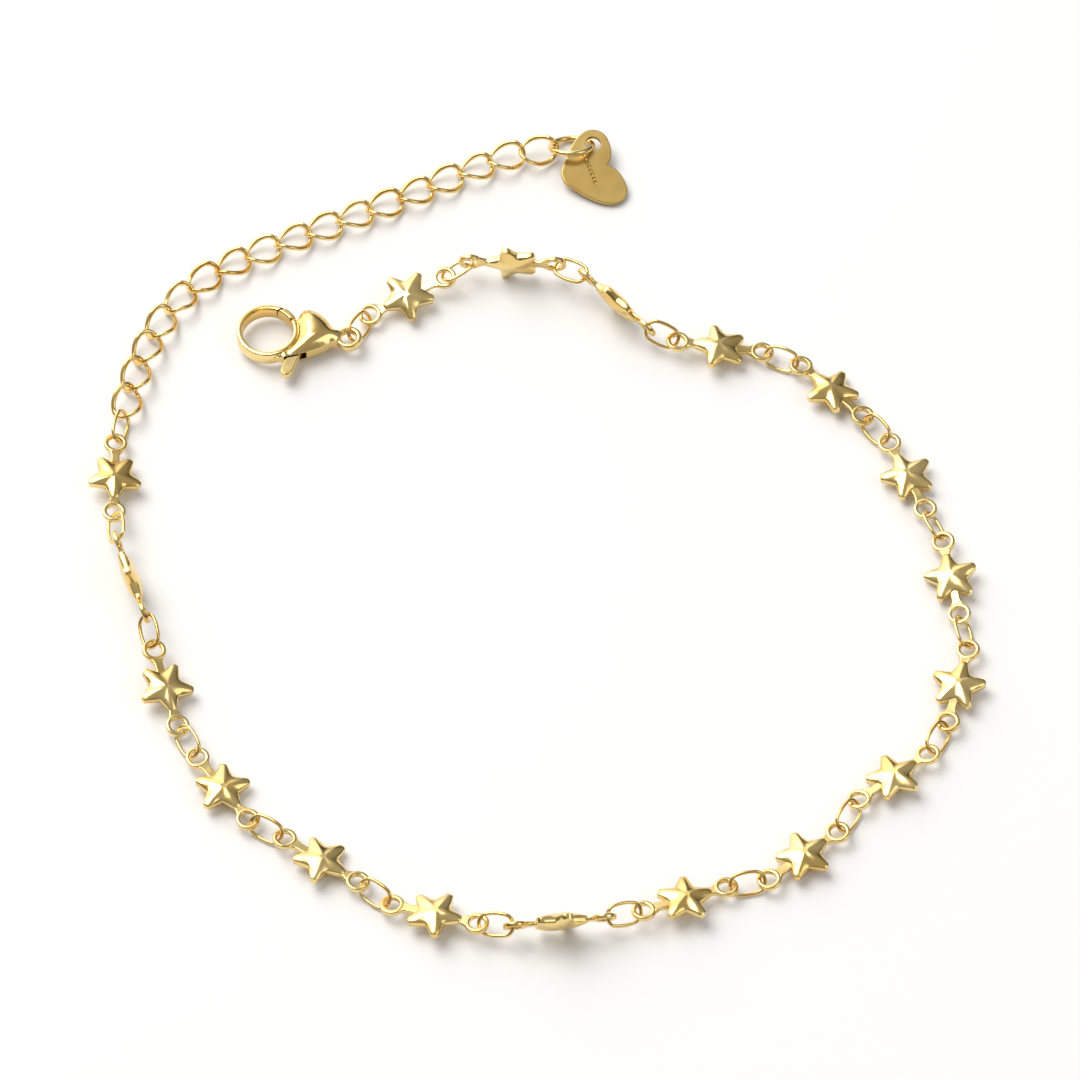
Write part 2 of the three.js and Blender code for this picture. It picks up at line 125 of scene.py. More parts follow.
def outlined(name, points, base):  # a flat face of the given outline at that height
    selectNone()
    bpy.ops.mesh.primitive_circle_add(vertices=len(points), radius=mm, fill_type="NGON", location=(0, 0, 0))
    piece = added(name)
    for vertex, point in zip(piece.data.vertices, points):
        vertex.co = (point[0] * mm, point[1] * mm, base * mm)
    piece.data.update()
    bpy.ops.object.mode_set(mode="EDIT")
    bpy.ops.mesh.select_all(action="SELECT")
    bpy.ops.mesh.normals_make_consistent(inside=False)
    bpy.ops.object.mode_set(mode="OBJECT")
    return piece


def plate(name, points, thickness, bevel=0):  # an extruded outline with rounded rims
    piece = outlined(name, points, -thickness / 2)
    bpy.ops.object.mode_set(mode="EDIT")
    bpy.ops.mesh.select_all(action="SELECT")
    bpy.ops.mesh.extrude_region_move(TRANSFORM_OT_translate={"value": (0, 0, thickness * mm)})
    bpy.ops.mesh.select_all(action="SELECT")
    bpy.ops.mesh.normals_make_consistent(inside=False)
    bpy.ops.object.mode_set(mode="OBJECT")
    if bevel:
        selectFaces(piece, lambda face: abs(face.normal.z) > 0.9)  # top and bottom, their rims with them
        bpy.ops.mesh.bevel(
            offset=bevel * mm, offset_type="OFFSET", segments=3, profile=0.5, affect="EDGES")
        bpy.ops.object.mode_set(mode="OBJECT")
    return piece


def disc(name, middle, radius, thickness, sides):
    selectNone()
    bpy.ops.mesh.primitive_cylinder_add(
        vertices=sides, radius=radius * mm, depth=thickness * mm,
        location=(middle[0] * mm, middle[1] * mm, 0))
    piece = added(name)
    bpy.ops.object.transform_apply(location=True, rotation=True, scale=True)
    return piece


# A ring of flat band with soft edges
def roundBand(name, middle, inner, outer, thickness, squareness, steps=40):
    centre = (inner + outer) / 2
    half = (outer - inner) / 2
    selectNone()
    bpy.ops.mesh.primitive_torus_add(
        major_segments=steps, minor_segments=16, major_radius=centre * mm, minor_radius=half * mm)
    piece = added(name)

    def square(point):
        flat = Vector((point.x, point.y))
        out = (flat.length / mm - centre) / half
        up = point.z / mm / half
        reach = centre + math.copysign(abs(out) ** squareness, out) * half
        height = math.copysign(abs(up) ** squareness, up) * thickness / 2
        flat = flat.normalized() * reach * mm
        return Vector((flat.x + middle * mm, flat.y, height * mm))

    drag(piece, square)
    return piece


def combine(piece, other, operation):
    pick(piece)
    step = piece.modifiers.new("combine", "BOOLEAN")
    step.operation = operation
    step.solver = "EXACT"
    step.object = other
    bpy.ops.object.modifier_apply(modifier=step.name)
    bpy.data.objects.remove(other, do_unlink=True)
    return piece


def smoothed(piece, angle):  # true flats stay flat
    pick(piece)
    bpy.ops.object.shade_smooth_by_angle(angle=math.radians(angle))
    for face in piece.data.polygons:
        if abs(face.normal.z) > 0.99999:
            face.use_smooth = False
    return piece


def arc(middle, radius, start, end, steps):
    turns = [math.radians(start + (end - start) * i / steps) for i in range(steps + 1)]
    return [(middle[0] + radius * math.cos(t), middle[1] + radius * math.sin(t)) for t in turns]


def bandSector(inner, outer, start, end, steps):
    return arc((0, 0), outer, start, end, steps) + arc((0, 0), inner, end, start, steps)


def blended(shares, points):  # the point that lies between these by the shares
    return tuple(sum(share * point[axis] for share, point in zip(shares, points)) for axis in (0, 1))


def bow(start, control, end, steps):  # quadratic curve without its first point
    curve = []
    for i in range(1, steps + 1):
        t = i / steps
        curve.append(blended(((1 - t) ** 2, 2 * t * (1 - t), t * t), (start, control, end)))
    return curve


def sweep(start, first, second, end, steps):  # cubic curve without its first point
    curve = []
    for i in range(1, steps + 1):
        t = i / steps
        shares = ((1 - t) ** 3, 3 * t * (1 - t) ** 2, 3 * t * t * (1 - t), t ** 3)
        curve.append(blended(shares, (start, first, second, end)))
    return curve


# Gold finishes, the tag's darkened as painted shade
goldFinish = {
    "star_gold": {
        "light": (0.93, 0.72, 0.32), "deep": (0.83, 0.57, 0.19), "rough": (0.14, 0.28), "ripple": 0.10},
    "wire_gold": {
        "light": (0.92, 0.69, 0.29), "deep": (0.82, 0.54, 0.17), "rough": (0.10, 0.22), "ripple": 0.05},
    "clasp_gold": {
        "light": (0.93, 0.72, 0.32), "deep": (0.84, 0.57, 0.19), "rough": (0.10, 0.20), "ripple": 0.06},
    # painted shade: the tag's base colour is the gold darkened to about 0.7, standing in for the darker
    # reflection on its face; its higher roughness is its own duller finish
    "tag_gold": {
        "light": (0.63, 0.45, 0.155), "deep": (0.54, 0.36, 0.11), "rough": (0.29, 0.34), "ripple": 0.03},
}
goldTexture = {
    "driftScale": 260, "driftRange": (0.3, 0.62),
    "handlingScale": 700, "handlingRange": (0.35, 0.7),
    "rippleScale": 1500, "rippleDepth": 0.00008,
}


def goldMaterial(name, values):
    material = bpy.data.materials.new(name)
    material.use_nodes = True
    nodes, links = material.node_tree.nodes, material.node_tree.links
    shader = nodes["Principled BSDF"]
    shader.inputs["Metallic"].default_value = 1.0
    place = nodes.new("ShaderNodeTexCoord")
    cloud = nodes.new("ShaderNodeTexNoise")  # slow drift of the plating's colour
    cloud.inputs["Scale"].default_value = goldTexture["driftScale"]
    cloud.inputs["Detail"].default_value = 1
    tint = nodes.new("ShaderNodeValToRGB")
    tint.color_ramp.elements[0].position = goldTexture["driftRange"][0]
    tint.color_ramp.elements[0].color = (*values["deep"], 1)
    tint.color_ramp.elements[1].position = goldTexture["driftRange"][1]
    tint.color_ramp.elements[1].color = (*values["light"], 1)
    handling = nodes.new("ShaderNodeTexNoise")  # patches dulled by handling
    handling.inputs["Scale"].default_value = goldTexture["handlingScale"]
    handling.inputs["Detail"].default_value = 1
    dull = nodes.new("ShaderNodeMapRange")
    for end, limits in (("From", goldTexture["handlingRange"]), ("To", values["rough"])):
        dull.inputs[end + " Min"].default_value = limits[0]
        dull.inputs[end + " Max"].default_value = limits[1]
    polish = nodes.new("ShaderNodeTexNoise")  # ripples left by tumbling
    polish.inputs["Scale"].default_value = goldTexture["rippleScale"]
    polish.inputs["Detail"].default_value = 2
    dent = nodes.new("ShaderNodeBump")
    dent.inputs["Strength"].default_value = values["ripple"]
    dent.inputs["Distance"].default_value = goldTexture["rippleDepth"]
    for texture in (cloud, handling, polish):
        links.new(place.outputs["Object"], texture.inputs["Vector"])
    links.new(cloud.outputs["Fac"], tint.inputs["Fac"])
    links.new(tint.outputs["Color"], shader.inputs["Base Color"])
    links.new(handling.outputs["Fac"], dull.inputs["Value"])
    links.new(dull.outputs["Result"], shader.inputs["Roughness"])
    links.new(polish.outputs["Fac"], dent.inputs["Height"])
    links.new(dent.outputs["Normal"], shader.inputs["Normal"])
    return material


finishes = {name: goldMaterial(name, values) for name, values in goldFinish.items()}
print("finishes ready")

# Star link
starLink = {
    "span": 7.7, "hole": 1.3, "rim": 0.42, "rimThickness": 0.46, "rimSquareness": 0.55,
    "radius": 2.4, "notch": 1.42, "tipWidth": 0.58, "tipSwell": 1.05, "edgeSteps": 3,
    "thickness": 1.45, "wall": 0.46,
    "neckThickness": 0.42, "neckWaist": 0.78, "neckFlare": 0.6, "neckFillet": 0.7, "neckBevel": 0.1,
    "neckStart": {-1: 1.2, 1: 0.5},  # shares of the notch's radius, at the tip's side and at the notch's
    "rows": [  # share of the outline and share of the puff, row by row
        (0.97, 0.13), (0.9, 0.27), (0.78, 0.46), (0.62, 0.66), (0.44, 0.83), (0.26, 0.94), (0.1, 1.0)],
    "softness": 0.5, "softened": 2, "softFrom": 0.3, "smoothAngle": 42,
}


def starPoints():
    points = []
    radius, steps = starLink["radius"], starLink["edgeSteps"]
    tip = math.atan2(starLink["tipWidth"] / 2, radius)
    for arm in range(5):
        turn = math.pi + arm * math.tau / 5
        corners = [(turn - tip, radius), (turn + tip, radius),
                   (turn + math.pi / 5, starLink["notch"]), (turn + math.tau / 5 - tip, radius)]
        flat = [(r * math.cos(a), r * math.sin(a)) for a, r in corners]
        swell = starLink["tipSwell"] * radius
        points.append(flat[0])
        points += bow(flat[0], (swell * math.cos(turn), swell * math.sin(turn)), flat[1], steps)
        for start, end in ((flat[1], flat[2]), (flat[2], flat[3])):
            for step in range(1, steps + 1 if end is flat[2] else steps):
                points.append(tuple(a + (b - a) * step / steps for a, b in zip(start, end)))
    return points


def puffedStar():  # extruded to its wall, then puffed row by row on both sides
    half = starLink["wall"] / 2
    dome = starLink["thickness"] / 2 - half
    piece = outlined("puffedStar", starPoints(), -half)
    bpy.ops.object.mode_set(mode="EDIT")
    bpy.ops.mesh.select_all(action="SELECT")
    bpy.ops.mesh.extrude_region_move(TRANSFORM_OT_translate={"value": (0, 0, starLink["wall"] * mm)})
    for side in (1, -1):
        bpy.ops.object.mode_set(mode="OBJECT")
        selectFaces(piece, lambda face: face.center.z * side > half * almost * mm)
        reached, risen = 1.0, 0.0
        for reach, rise in starLink["rows"]:
            step = side * (rise - risen) * dome * mm
            bpy.ops.mesh.extrude_region_move(TRANSFORM_OT_translate={"value": (0, 0, step)})
            bpy.ops.transform.resize(value=(reach / reached, reach / reached, 1))
            reached, risen = reach, rise
    bpy.ops.object.mode_set(mode="OBJECT")
    selectFaces(piece, lambda face: abs(face.center.z) > (half + dome * starLink["softFrom"]) * mm)
    bpy.ops.mesh.vertices_smooth(factor=starLink["softness"], repeat=starLink["softened"])  # ridges worn soft
    bpy.ops.mesh.select_all(action="SELECT")
    bpy.ops.mesh.normals_make_consistent(inside=False)
    bpy.ops.object.mode_set(mode="OBJECT")
    return piece


def neck(side):  # the strip from the star to its eyelet, widening where they meet
    outer = starLink["hole"] / 2 + starLink["rim"]
    wide = outer * starLink["neckFlare"]
    thin = starLink["neckWaist"] / 2
    start = starLink["notch"] * starLink["neckStart"][side]
    far = starLink["span"] / 2 - (starLink["hole"] + starLink["rim"]) / 2
    near = starLink["span"] / 2 - outer - starLink["rim"]
    upper = [(start, thin), (near, thin)]
    upper += bow((near, thin), (near + starLink["rim"] * starLink["neckFillet"], thin), (far, wide), 5)
    points = upper + [(x, -y) for x, y in reversed(upper)]
    points = [(side * x, y) for x, y in points]
    return plate("neck", points, starLink["neckThickness"], starLink["neckBevel"])


def modelStarLink():
    piece = puffedStar()
    hole = starLink["hole"] / 2
    for side in (-1, 1):
        combine(piece, neck(side), "UNION")
        rim = roundBand(
            "eyelet", side * starLink["span"] / 2, hole, hole + starLink["rim"], starLink["rimThickness"],
            starLink["rimSquareness"])
        combine(piece, rim, "UNION")
    return smoothed(piece, starLink["smoothAngle"])


# Oval rings, curb links and the jump ring are all bent from round wire
wire = {
    "ring": {"length": 3.42, "width": 2.35, "wire": 0.33, "twist": 0, "steps": 44, "sides": 12},
    "curb": {
        "length": 3.86, "width": 2.95, "wire": 0.46, "twist": 45, "steps": 44, "sides": 12,
        "smoothAngle": 60},
    "jump": {"length": 4.4, "width": 4.4, "wire": 0.54, "twist": 0, "steps": 56, "sides": 14},
}
curbPitch = wire["curb"]["length"] - 2 * lay["curbWire"] + lay["curbLap"]
curbRest = wire["curb"]["width"] * lay["curbRestShare"]


def modelWireRing(kind):
    values = wire[kind]
    halfLength = (values["length"] - values["wire"]) / 2
    halfWidth = (values["width"] - values["wire"]) / 2
    selectNone()
    bpy.ops.mesh.primitive_torus_add(
        major_segments=values["steps"], minor_segments=values["sides"],
        major_radius=halfWidth * mm, minor_radius=values["wire"] / 2 * mm)
    piece = added(kind)

    def bend(point):
        turn = math.atan2(point.y, point.x)
        stretch = (halfLength - halfWidth) * max(-1, min(1, 2 * math.cos(turn)))
        x = point.x + stretch * mm
        angle = math.radians(values["twist"]) * max(-1, min(1, x / (halfLength * mm)))
        return Vector((x, point.y * math.cos(angle) - point.z * math.sin(angle),
                       point.y * math.sin(angle) + point.z * math.cos(angle)))

    drag(piece, bend)
    bpy.ops.object.shade_smooth()
    return piece


# Lobster clasp, its hook round the origin and its eye on +X
clasp = {
    "hole": 4.5, "band": 0.62, "bandThickness": 1.5, "bandSquareness": 0.62, "bandSteps": 96,
    "reach": 7.35, "bodyThickness": 2.4, "wall": 1.0, "crownReach": 1.15,
    "crownSoftness": 0.5, "crownSoftened": 12,
    "slice": 0.19, "crease": 0.14, "creaseFrom": 27, "creaseTo": -62,
    "tailFrom": 0.7, "tailReach": 0.9, "tailShare": 0.6, "shelf": 0.48,
    "eyeHole": 1.4, "eyeRim": 0.5, "eyeThickness": 0.8, "eyeSquareness": 0.6,
    "backWall": 0.6, "pivotDrop": 0.5,
    "seam": 66, "shoulder": 38, "gateOverlap": 12, "gateBevel": 0.15, "gateRoot": 4,
    "armFrom": -30, "armSlot": (-38, 60), "armSlotInner": 0.5, "tabSlotMargin": 9, "tabSlotReach": 1.4,
    "leverThickness": 0.7, "sideGap": 0.1, "gap": 0.12, "inset": 0.02,
    "boss": 1.3, "pin": 0.6, "pinLength": 1.2, "pinGap": 0.08,
    "tabReach": 3.5, "tabWidth": 1.1, "tabAngle": -106, "tabBevel": 0.12, "swing": 25, "smoothAngle": 38,
}
hookInner = clasp["hole"] / 2
hookOuter = hookInner + clasp["band"]
hookMiddle = (hookInner + hookOuter) / 2
pivot = (hookInner + clasp["backWall"], -hookInner * clasp["pivotDrop"])
seamTurn = math.radians(clasp["seam"])
seamRadius = math.dist((hookMiddle * math.cos(seamTurn), hookMiddle * math.sin(seamTurn)), pivot)


def claspPoints():  # the teardrop, from its tail round the eye's end and over the lobe to the hook
    rim, reach = clasp["eyeRim"], clasp["reach"]
    end = reach - clasp["eyeHole"] / 2 - rim / 2
    shoulder = hookOuter - clasp["band"] / 2
    points = [(clasp["tailFrom"], -hookOuter * 0.965), (hookInner * 0.62, -hookOuter * 0.95)]
    points += bow(points[-1], (reach * 0.58, -hookOuter * 0.72), (end - rim * 1.2, -rim * 1.5), 18)  # belly
    points += bow(points[-1], (end - rim * 0.2, -rim * 1.1), (end + rim * 0.4, -rim * 0.9), 4)  # eye's root
    points += [(end + rim * 0.4, rim * 0.9)]
    points += bow(points[-1], (end - rim * 0.2, rim * 1.1), (end - rim * 1.2, rim * 1.5), 4)
    points += bow(points[-1], (reach * 0.64, shoulder * 0.98), (reach * 0.48, shoulder), 16)  # back
    points += bow(points[-1], (reach * 0.385, shoulder), (reach * 0.365, shoulder * 0.66), 8)  # lobe
    points += arc((0, 0), hookOuter - clasp["crease"], clasp["creaseFrom"], clasp["creaseTo"], 18)
    return points


def insideBy(point, outline):  # how far the point lies from the nearest edge
    nearest = None
    for i in range(len(outline)):
        start, end = Vector(outline[i - 1]), Vector(outline[i])
        edge = end - start
        share = max(0, min(1, (point - start).dot(edge) / edge.length_squared))
        far = (point - start - edge * share).length
        nearest = far if nearest is None else min(nearest, far)
    return nearest


def crowned():  # the body's smooth dome: sliced both ways, then raised away from its outline
    outline = claspPoints()
    half = clasp["wall"] / 2
    height = clasp["bodyThickness"] / 2 - half
    piece = plate("teardrop", outline, clasp["wall"])
    bpy.ops.object.mode_set(mode="EDIT")
    for axis, normal in enumerate(((1, 0, 0), (0, 1, 0))):
        low = min(point[axis] for point in outline)
        high = max(point[axis] for point in outline)
        for step in range(1, int((high - low) / clasp["slice"])):
            bpy.ops.mesh.select_all(action="SELECT")
            cut = (low + step * clasp["slice"]) * mm
            bpy.ops.mesh.bisect(plane_co=[n * cut for n in normal], plane_no=normal)
    bpy.ops.object.mode_set(mode="OBJECT")

    inward = [insideBy(Vector(vertex.co.xy) / mm, outline) for vertex in piece.data.vertices]
    for vertex, far in zip(piece.data.vertices, inward):
        rise = 1 - (1 - min(1, far / clasp["crownReach"])) ** 2
        tail = max(0, min(1, (vertex.co.x / mm - clasp["tailFrom"]) / clasp["tailReach"]))
        tail = clasp["tailShare"] + (1 - clasp["tailShare"]) * tail
        vertex.co.z = math.copysign((half + height * rise) * tail, vertex.co.z) * mm
    margin = clasp["slice"] / 6  # the outline itself stays sharp
    selectFaces(piece, lambda face: min(inward[i] for i in face.vertices) > margin)
    bpy.ops.mesh.vertices_smooth(factor=clasp["crownSoftness"], repeat=clasp["crownSoftened"])
    bpy.ops.object.mode_set(mode="OBJECT")
    return piece


def leverSlot():  # the room inside the body for the lever's arm, boss and tab
    depth = clasp["leverThickness"] + 2 * clasp["sideGap"]
    room = bandSector(hookInner * clasp["armSlotInner"], hookOuter + clasp["gap"], *clasp["armSlot"], 14)
    slot = plate("slot", room, depth)
    combine(slot, disc("bossSlot", pivot, clasp["boss"] / 2 + clasp["gap"], depth, sides=28), "UNION")
    spread = clasp["tabWidth"] / 2 + clasp["gap"]
    reach = clasp["tabReach"] * clasp["tabSlotReach"]
    margin = clasp["tabSlotMargin"]
    wedge = [(pivot[0] - spread, pivot[1])]
    for angle in (clasp["tabAngle"] - margin, clasp["tabAngle"] + clasp["swing"] + margin):
        turn = math.radians(angle)
        wedge.append((pivot[0] + reach * math.cos(turn), pivot[1] + reach * math.sin(turn)))
    wedge.append((pivot[0] + spread, pivot[1]))
    return combine(slot, plate("wedge", wedge, depth), "UNION")


def modelClaspBody():
    whole = clasp["bodyThickness"] * 2
    hook = roundBand(
        "claspBody", 0, hookInner, hookOuter, clasp["bandThickness"], clasp["bandSquareness"],
        clasp["bandSteps"])
    seamCut = disc("seamCut", pivot, seamRadius + clasp["gap"], whole, sides=96)
    bpy.ops.object.mode_set(mode="EDIT")
    bpy.ops.mesh.select_all(action="SELECT")
    bpy.ops.mesh.bisect(
        plane_co=(0, hookInner * clasp["shelf"] * mm, 0), plane_no=(0, 1, 0), clear_inner=True, use_fill=True)
    bpy.ops.object.mode_set(mode="OBJECT")
    combine(hook, seamCut, "DIFFERENCE")
    body = crowned()
    combine(body, disc("hookHole", (0, 0), hookInner, whole, sides=96), "DIFFERENCE")
    combine(hook, body, "UNION")
    combine(hook, leverSlot(), "DIFFERENCE")
    hole = clasp["eyeHole"] / 2
    eye = roundBand(
        "eye", clasp["reach"], hole, hole + clasp["eyeRim"], clasp["eyeThickness"], clasp["eyeSquareness"])
    combine(hook, eye, "UNION")
    combine(hook, disc("pin", pivot, clasp["pin"] / 2, clasp["pinLength"], sides=24), "UNION")
    return smoothed(hook, clasp["smoothAngle"])


def seamAngle(radius):  # where the gate's end, round the pivot, crosses that circle
    far = math.hypot(*pivot)
    spread = math.acos((radius ** 2 + far ** 2 - seamRadius ** 2) / (2 * radius * far))
    return math.degrees(math.atan2(pivot[1], pivot[0]) + spread)


def modelClaspLever():
    inner, outer = hookInner + clasp["inset"], hookOuter - clasp["inset"]
    root = clasp["shoulder"] - clasp["gateRoot"]
    ends = [seamAngle(outer), seamAngle(inner)]
    middle = math.radians(sum(ends) / 2)
    outline = arc((0, 0), outer, root, ends[0], 10)
    outline += [(hookMiddle * math.cos(middle), hookMiddle * math.sin(middle))]
    outline += arc((0, 0), inner, ends[1], root, 10)
    gate = plate("claspLever", outline, clasp["bandThickness"], clasp["gateBevel"])
    band = bandSector(inner, outer, clasp["armFrom"], clasp["shoulder"] + clasp["gateOverlap"], 16)
    combine(gate, plate("arm", band, clasp["leverThickness"]), "UNION")
    combine(gate, disc("boss", pivot, clasp["boss"] / 2, clasp["leverThickness"], sides=32), "UNION")
    turn = math.radians(clasp["tabAngle"])
    half = clasp["tabWidth"] / 2
    end = clasp["tabReach"] - half
    tip = (pivot[0] + end * math.cos(turn), pivot[1] + end * math.sin(turn))
    tab = [(pivot[0] - math.sin(turn) * s * half, pivot[1] + math.cos(turn) * s * half) for s in (1, -1)]
    tab += arc(tip, half, clasp["tabAngle"] - 90, clasp["tabAngle"] + 90, 14)
    thinner = clasp["leverThickness"] - 0.002  # so that no faces share a plane
    combine(gate, plate("tab", tab, thinner, clasp["tabBevel"]), "UNION")
    bore = disc("bore", pivot, clasp["pin"] / 2 + clasp["pinGap"], clasp["bodyThickness"] * 2, sides=24)
    combine(gate, bore, "DIFFERENCE")
    return smoothed(gate, clasp["smoothAngle"])


# Heart tag, its hanging hole at the origin
tag = {
    "lobeSpacing": 4.9, "lobeRadius": 1.5, "pointDrop": 3.9, "pointRadius": 0.7, "notchRise": 0.55,
    "thickness": 0.45, "bevel": 0.1, "hole": 1.5,
    "dots": 8, "dotRadius": 0.2, "dotPitch": 0.43, "dotSink": 0.07, "dotAlong": 0.47, "dotDrop": 1.15,
    "smoothAngle": 30,
}


def heartPoints():  # the right half from the notch to the point, then the same mirrored
    half = tag["lobeSpacing"] / 2
    lobe = tag["lobeRadius"]
    outer = half + lobe
    point, blunt = -tag["pointDrop"], tag["pointRadius"]
    end = (blunt, point + blunt * 0.25)
    right = [(0, tag["notchRise"])]
    right += sweep(right[-1], (half * 0.3, lobe), (half * 0.75, lobe), (half, lobe), 12)
    right += sweep(right[-1], (outer - lobe * 0.4, lobe), (outer, lobe * 0.5), (outer, 0), 12)
    right += sweep(right[-1], (outer, point * 0.32), (half * 0.9, point * 0.68), end, 18)
    right += bow(end, (end[0] * 0.45, point - blunt * 0.02), (0, point + blunt * 0.07), 4)
    left = [(-x, y) for x, y in reversed(right[1:-1])]
    return [(x + half, y) for x, y in right + left]


def modelHeartTag():
    piece = plate("heartTag", heartPoints(), tag["thickness"], tag["bevel"])
    hole = disc("tagHole", (0, 0), tag["hole"] / 2, tag["thickness"] * 2, sides=48)
    combine(piece, hole, "DIFFERENCE")
    for i in range(tag["dots"]):
        along = (i - (tag["dots"] - 1) / 2) * tag["dotPitch"]
        selectNone()
        bpy.ops.mesh.primitive_uv_sphere_add(
            segments=16, ring_count=8, radius=tag["dotRadius"] * mm,
            location=((tag["lobeSpacing"] * tag["dotAlong"] + along) * mm, -tag["dotDrop"] * mm,
                      (tag["thickness"] / 2 + tag["dotSink"]) * mm))
        dimple = added("dimple")
        bpy.ops.object.transform_apply(location=True, rotation=True, scale=True)
        combine(piece, dimple, "DIFFERENCE")
    return smoothed(piece, tag["smoothAngle"])


# Placing each piece where the chain carries it
def direction(course, rise=0.0):
    level = math.sqrt(1 - rise * rise)
    return Vector((level * math.cos(math.radians(course)), level * math.sin(math.radians(course)), rise))


def placement(middle, along, roll):
    side = Vector((-along.y, along.x, 0)).normalized()
    basis = Matrix((along, side, along.cross(side))).transposed().to_4x4()
    return Matrix.Translation(Vector(middle) * mm) @ basis @ Matrix.Rotation(math.radians(roll), 4, "X")


def put(model, name, node, place, slotName, body="chain"):
    piece = model.copy()
    piece.data = model.data.copy()
    piece.name = name
    piece.data.name = name
    bpy.context.scene.collection.objects.link(piece)
    piece.data.transform(place)
    piece.data.materials.clear()
    piece.data.materials.append(finishes[slotName])
    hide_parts(node)
    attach(piece, body)
    return piece


starModel = modelStarLink()
print("star link modelled", len(starModel.data.polygons))
ringModel = modelWireRing("ring")
curbModel = modelWireRing("curb")
jumpModel = modelWireRing("jump")
print("rings modelled")
bodyModel = modelClaspBody()
leverModel = modelClaspLever()
print("clasp modelled", len(bodyModel.data.polygons), len(leverModel.data.polygons))
tagModel = modelHeartTag()
print("tag modelled", len(tagModel.data.polygons))

ground = lay["groundHeight"]
ringInside = wire["ring"]["length"] - 2 * lay["ringWire"]
eyeletPitch = ringInside + starLink["hole"] - 2 * lay["play"]
claspPitch = ringInside + (starLink["hole"] + clasp["eyeHole"]) / 2 - 4 * lay["play"]
ringRest = wire["ring"]["width"] / 2 * math.sin(math.radians(lay["restRoll"]))


def linkHeight(roll):
    lean = abs(math.sin(math.radians(roll)))
    arm = starLink["radius"] * math.sin(math.tau / 5)  # how far the widest arm reaches to the side
    return ground + max(ringRest, arm * lean + starLink["wall"] / 2 * math.cos(math.radians(roll)))


def placeClasp():
    eye = Vector(lay["claspEye"])
    along = direction(lay["claspCourse"])
    hook = eye - along * clasp["reach"]
    put(bodyModel, "claspBody", "clasp_body", placement(hook, along, 0), "clasp_gold")
    put(leverModel, "claspLever", "clasp_lever", placement(hook, along, 0), "clasp_gold", "lever")
    return eye


def placeLinks(end):
    for index, row in enumerate(route):
        height = linkHeight(row["starRoll"])
        heightA = height + row["riseA"] * lay["eyeletRise"]
        heightB = height + row["riseB"] * lay["eyeletRise"]
        pitch = (claspPitch if index == 0 else eyeletPitch) - row["slack"] * starLink["hole"]
        ringAlong = direction(row["ring"], (heightA - end.z) / pitch)
        eyeletA = end + ringAlong * pitch
        ringName = "claspRing" if index == 0 else f"linkRing{index:02d}"
        ringNode = "clasp_ring" if index == 0 else f"link_ring_{index:02d}"
        ringPlace = placement((end + eyeletA) / 2, ringAlong, row["ringRoll"])
        put(ringModel, ringName, ringNode, ringPlace, "wire_gold")
        along = direction(row["star"], (heightB - heightA) / starLink["span"])
        middle = eyeletA + along * (starLink["span"] / 2)
        put(starModel, f"starLink{index + 1:02d}", f"star_link_{index + 1:02d}",
            placement(middle, along, row["starRoll"]), "star_gold")
        end = eyeletA + along * starLink["span"]
    return end


def placeExtension(end):
    inside = wire["ring"]["length"] / 2 - lay["ringWire"] - lay["play"]
    ringAlong = direction(lay["extensionRing"]["course"])
    ringMiddle = end + ringAlong * (inside + starLink["hole"] / 2)
    put(ringModel, "extensionRing", "extension_ring",
        placement(ringMiddle, ringAlong, lay["extensionRing"]["roll"]), "wire_gold")
    rest = ground + curbRest
    point = ringMiddle + ringAlong * (inside - lay["curbWire"] / 2)
    count = len(lay["extensionCourse"])
    chain = []
    for index, course in enumerate(lay["extensionCourse"]):
        drop = max(0, 1 - index / lay["dropLinks"]) * (ringMiddle.z - rest)
        lift = max(0, 1 - (count - 1 - index) / lay["liftLinks"]) * (jumpHeight - rest)
        reach = (wire["curb"]["length"] - lay["curbWire"]) / 2 if index == 0 else curbPitch
        along = direction(course)
        point = point + along * reach
        point.z = rest + drop + lift
        link = curbModel.copy()
        link.data = curbModel.data.copy()
        bpy.context.scene.collection.objects.link(link)
        link.data.transform(placement(point, along, lay["extensionRoll"][index]))
        chain.append(link)
    whole = chain[0]
    for link in chain[1:]:
        combine(whole, link, "UNION")
    smoothed(whole, wire["curb"]["smoothAngle"])
    put(whole, "extensionChain", "extension_chain", Matrix.Identity(4), "wire_gold")
    bpy.data.objects.remove(whole, do_unlink=True)
    return point, direction(lay["extensionCourse"][-1])


jumpMiddle = (wire["jump"]["length"] - lay["jumpWire"]) / 2
jumpHeight = ground + jumpMiddle * abs(math.sin(math.radians(lay["jumpRingTilt"]))) + lay["jumpWire"] / 2


def placeEnd(last, along):
    inside = jumpMiddle - lay["jumpWire"] / 2 - lay["play"] - lay["curbWire"] / 2
    middle = last + along * ((wire["curb"]["length"] - lay["curbWire"]) / 2 + inside)
    middle.z = jumpHeight
    ringPlace = placement(middle, direction(lay["jumpRingCourse"]), lay["jumpRingTilt"])
    put(jumpModel, "jumpRing", "jump_ring", ringPlace, "wire_gold")
    hole = ringPlace @ Vector((jumpMiddle * mm, 0, 0)) / mm
    slope = (hole.z - ground - tag["thickness"] / 2) / (tag["lobeSpacing"] + tag["lobeRadius"])
    tagPlace = placement(hole, direction(lay["tagCourse"], -slope), 0)
    put(tagModel, "heartTag", "heart_tag", tagPlace, "tag_gold")


lastEyelet = placeLinks(placeClasp())
lastLink, lastCourse = placeExtension(lastEyelet)
placeEnd(lastLink, lastCourse)
for model in (starModel, ringModel, curbModel, jumpModel, bodyModel, leverModel, tagModel):
    bpy.data.objects.remove(model, do_unlink=True)
print("anklet placed")

